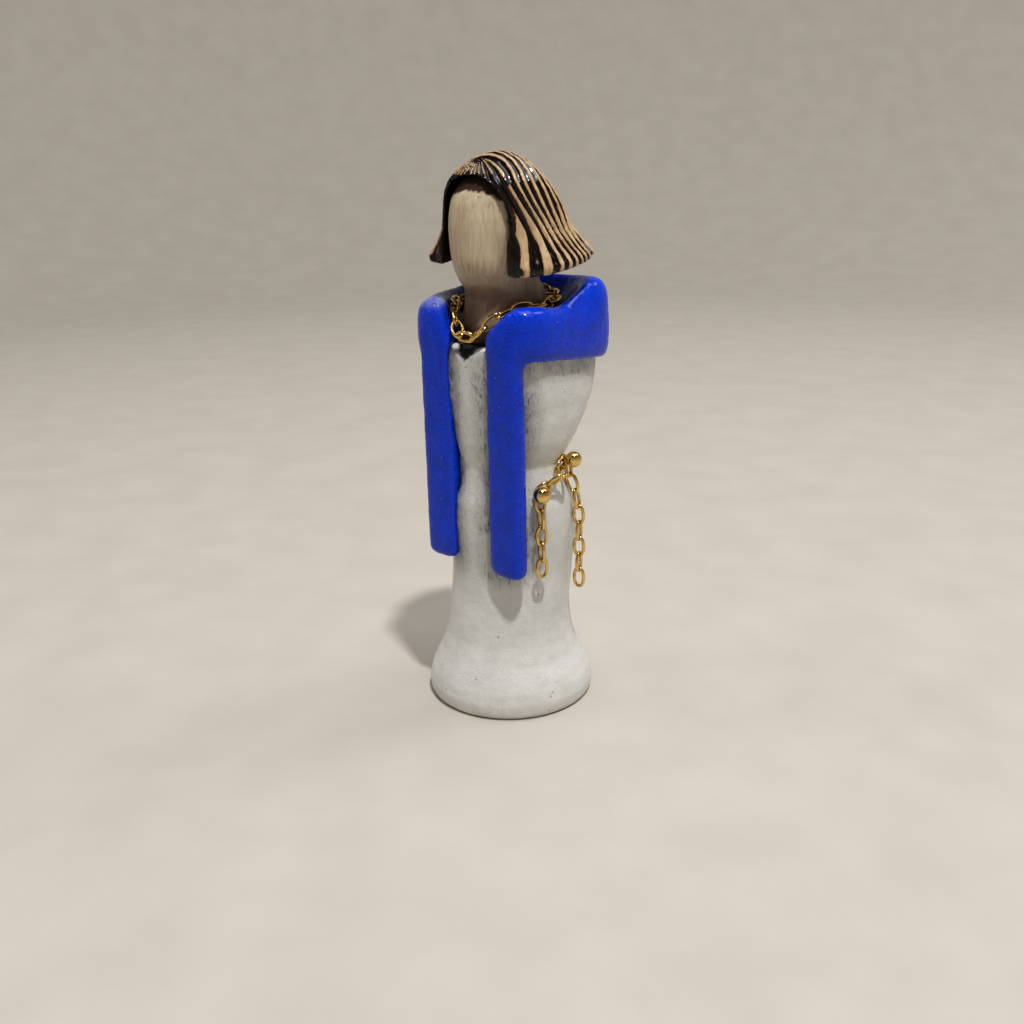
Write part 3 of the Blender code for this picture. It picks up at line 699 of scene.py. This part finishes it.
def bend_link(name, half_width, half_length, wire):
    """An oval ring of round wire with a small bead where its ends were soldered."""
    around, section, fine_steps = 80, 16, 4000
    angles = np.linspace(0.0, 2 * math.pi, fine_steps + 1)
    oval = [half * np.sign(turn) * np.abs(turn) ** (2 / OVAL_SQUARENESS) for half, turn in
            ((half_width - wire, np.cos(angles)), (half_length - wire, np.sin(angles)))]
    travelled = np.concatenate(([0.0], np.cumsum(np.hypot(*np.diff(oval)))))
    stops = travelled[-1] * np.arange(around) / around
    centres = np.array([np.interp(stops, travelled, line) for line in oval]).T
    ahead = np.roll(centres, -1, axis=0) - np.roll(centres, 1, axis=0)
    ahead /= np.linalg.norm(ahead, axis=1)[:, None]
    from_bead = np.minimum(stops, travelled[-1] - stops)
    bead = BEAD_SWELL * np.exp(-(from_bead / BEAD_LENGTH) ** 2)
    radii = WIRE_FULLNESS * wire * (1.0 + bead)
    bm = bmesh.new()
    rings = []
    for centre, forward, radius in zip(centres, ahead, radii):
        ring = []
        for j in range(section):
            turn = 2 * math.pi * j / section
            out = radius * math.cos(turn)
            point = (centre[0] + out * forward[1], radius * math.sin(turn),
                     centre[1] - out * forward[0])
            ring.append(bm.verts.new(Vector(point) * MM))
        rings.append(ring)
    for k, ring in enumerate(rings):
        after = rings[(k + 1) % around]
        for j in range(section):
            up = (j + 1) % section
            bm.faces.new((ring[j], ring[up], after[up], after[j]))
    bmesh.ops.recalc_face_normals(bm, faces=bm.faces)
    return mesh_from(bm, name)


def make_links():
    """Every link is the same oval, sized by the first of them."""
    nodes = [node for node in sorted(frame["nodes"]) if "_link_" in node]
    half_width, half_thickness, half_length = place_of(nodes[0])[1]
    mesh = bend_link("oval link", half_width, half_length, half_thickness)
    for node in nodes:
        link = keep(bpy.data.objects.new("gold_" + node, mesh.copy()))
        link.matrix_world = place_of(node)[0]
        body = frame["nodes"][node]["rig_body"]
        finish(link, gold_plate, "gold", body, node)


def turn_pin(name, ball, wire, length):
    """A ball on a straight shank, turned round Z, the ball at the top."""
    neck = math.asin(wire / ball)
    steps = 22
    profile = []
    for k in range(steps + 1):
        angle = (math.pi - neck) * k / steps
        profile.append((ball * math.sin(angle), ball * math.cos(angle) - ball))
    profile.append((wire, -length * 0.98))
    profile.append((wire * 0.6, -length))
    profile.append((0.0, -length))
    bm = spun(profile, MM, steps=40, weld=0.0005 * MM)
    bmesh.ops.recalc_face_normals(bm, faces=bm.faces)
    return mesh_from(bm, name)


def make_pins():
    """Each pin lies on the hinge axis of the chain tail that hangs from it."""
    for node, joint_name in (("hip_pin_front", "hip_01_swing"),
                             ("hip_pin_back", "hip_10_swing")):
        joint = [j for j in frame["joints"] if j["name"] == joint_name][0]
        axis = Vector(joint["axis"]).normalized()
        points = points_of(frame["nodes"][node].data)
        start = np.array(joint["pos_m"]) / MM
        along = (points - start) @ np.array(axis)
        off = points - start - along[:, None] * np.array(axis)
        away = np.linalg.norm(off, axis=1)
        ball_end = along[np.argmax(away)]
        if ball_end < 0:
            axis, along = -axis, -along
        mesh = turn_pin(node, away.max(), PIN_WIRE, np.ptp(along))
        pin = keep(bpy.data.objects.new("turned_" + node, mesh))
        tip = Vector(start + np.array(axis) * along.max()) * MM
        pin.matrix_world = Matrix.Translation(tip) @ facing(axis, "Z")
        finish(pin, gold_plate, "gold", FIGURE, node)


# ---------------------------------------------------------------- build

carve_dress()
carve_mantle()
carve_head()
carve_hair()
make_links()
make_pins()
peg = frame["nodes"]["neck_peg"]
peg.data.materials.clear()
peg.data.materials.append(sanded_wood)


# ---------------------------------------------------------------- floor, light and camera

def lay_floor():
    """A round sweep of paper: a flat floor that curves up into a wall all round."""
    flat, bend, wall = 0.55, 0.35, 1.0
    steps = 12
    profile = [(0.0, 0.0), (flat / 2, 0.0)]
    for k in range(steps + 1):
        angle = QUARTER_TURN * k / steps
        profile.append((flat + bend * math.sin(angle), bend * (1.0 - math.cos(angle))))
    profile.append((flat + bend, wall))
    mesh = mesh_from(spun(profile, 1.0, steps=96, weld=0.0001), "floor")
    mesh.materials.append(paper_floor())
    floor = keep(bpy.data.objects.new("floor", mesh))
    floor.location.z = -0.02 * MM


def hang_light(name, place, size, power, colour=(1.0, 1.0, 1.0)):
    light = bpy.data.lights.new(name, "AREA")
    light.shape = "DISK"
    light.size = size
    light.energy = power
    light.color = colour
    lamp = keep(bpy.data.objects.new(name, light))
    lamp.location = place
    aim = Vector(LIGHTS_AIM) - lamp.location
    lamp.rotation_euler = aim.to_track_quat("-Z", "Y").to_euler()


def light_room():
    bpy.context.scene.view_settings.view_transform = "Standard"
    world = bpy.data.worlds.new("room")
    bpy.context.scene.world = world
    world.use_nodes = True
    background = world.node_tree.nodes["Background"]
    background.inputs["Color"].default_value = (0.80, 0.86, 1.0, 1.0)
    background.inputs["Strength"].default_value = 0.05
    hang_light("key", (0.25, -0.13, 0.80), 0.05, 5.4, (1.0, 0.99, 0.97))
    hang_light("window", (-0.40, -0.25, 0.62), 0.10, 0.35)
    hang_light("back", (0.25, 0.45, 0.70), 0.30, 1.2)
    hang_light("ceiling", (0.0, 0.1, 0.97), 0.6, 3.6)


def place_camera():
    camera = bpy.data.cameras.new("camera")
    camera.lens = 36.9
    camera.sensor_width = 36.0
    camera.clip_start = 0.005
    camera.clip_end = 20.0
    thing = keep(bpy.data.objects.new("camera", camera))
    look = facing(Vector(CAMERA_AIM), "-Z")
    roll = Matrix.Rotation(math.radians(CAMERA_ROLL), 4, "Z")
    thing.matrix_world = Matrix.Translation(CAMERA_PLACE) @ look @ roll
    bpy.context.scene.camera = thing


lay_floor()
light_room()
place_camera()
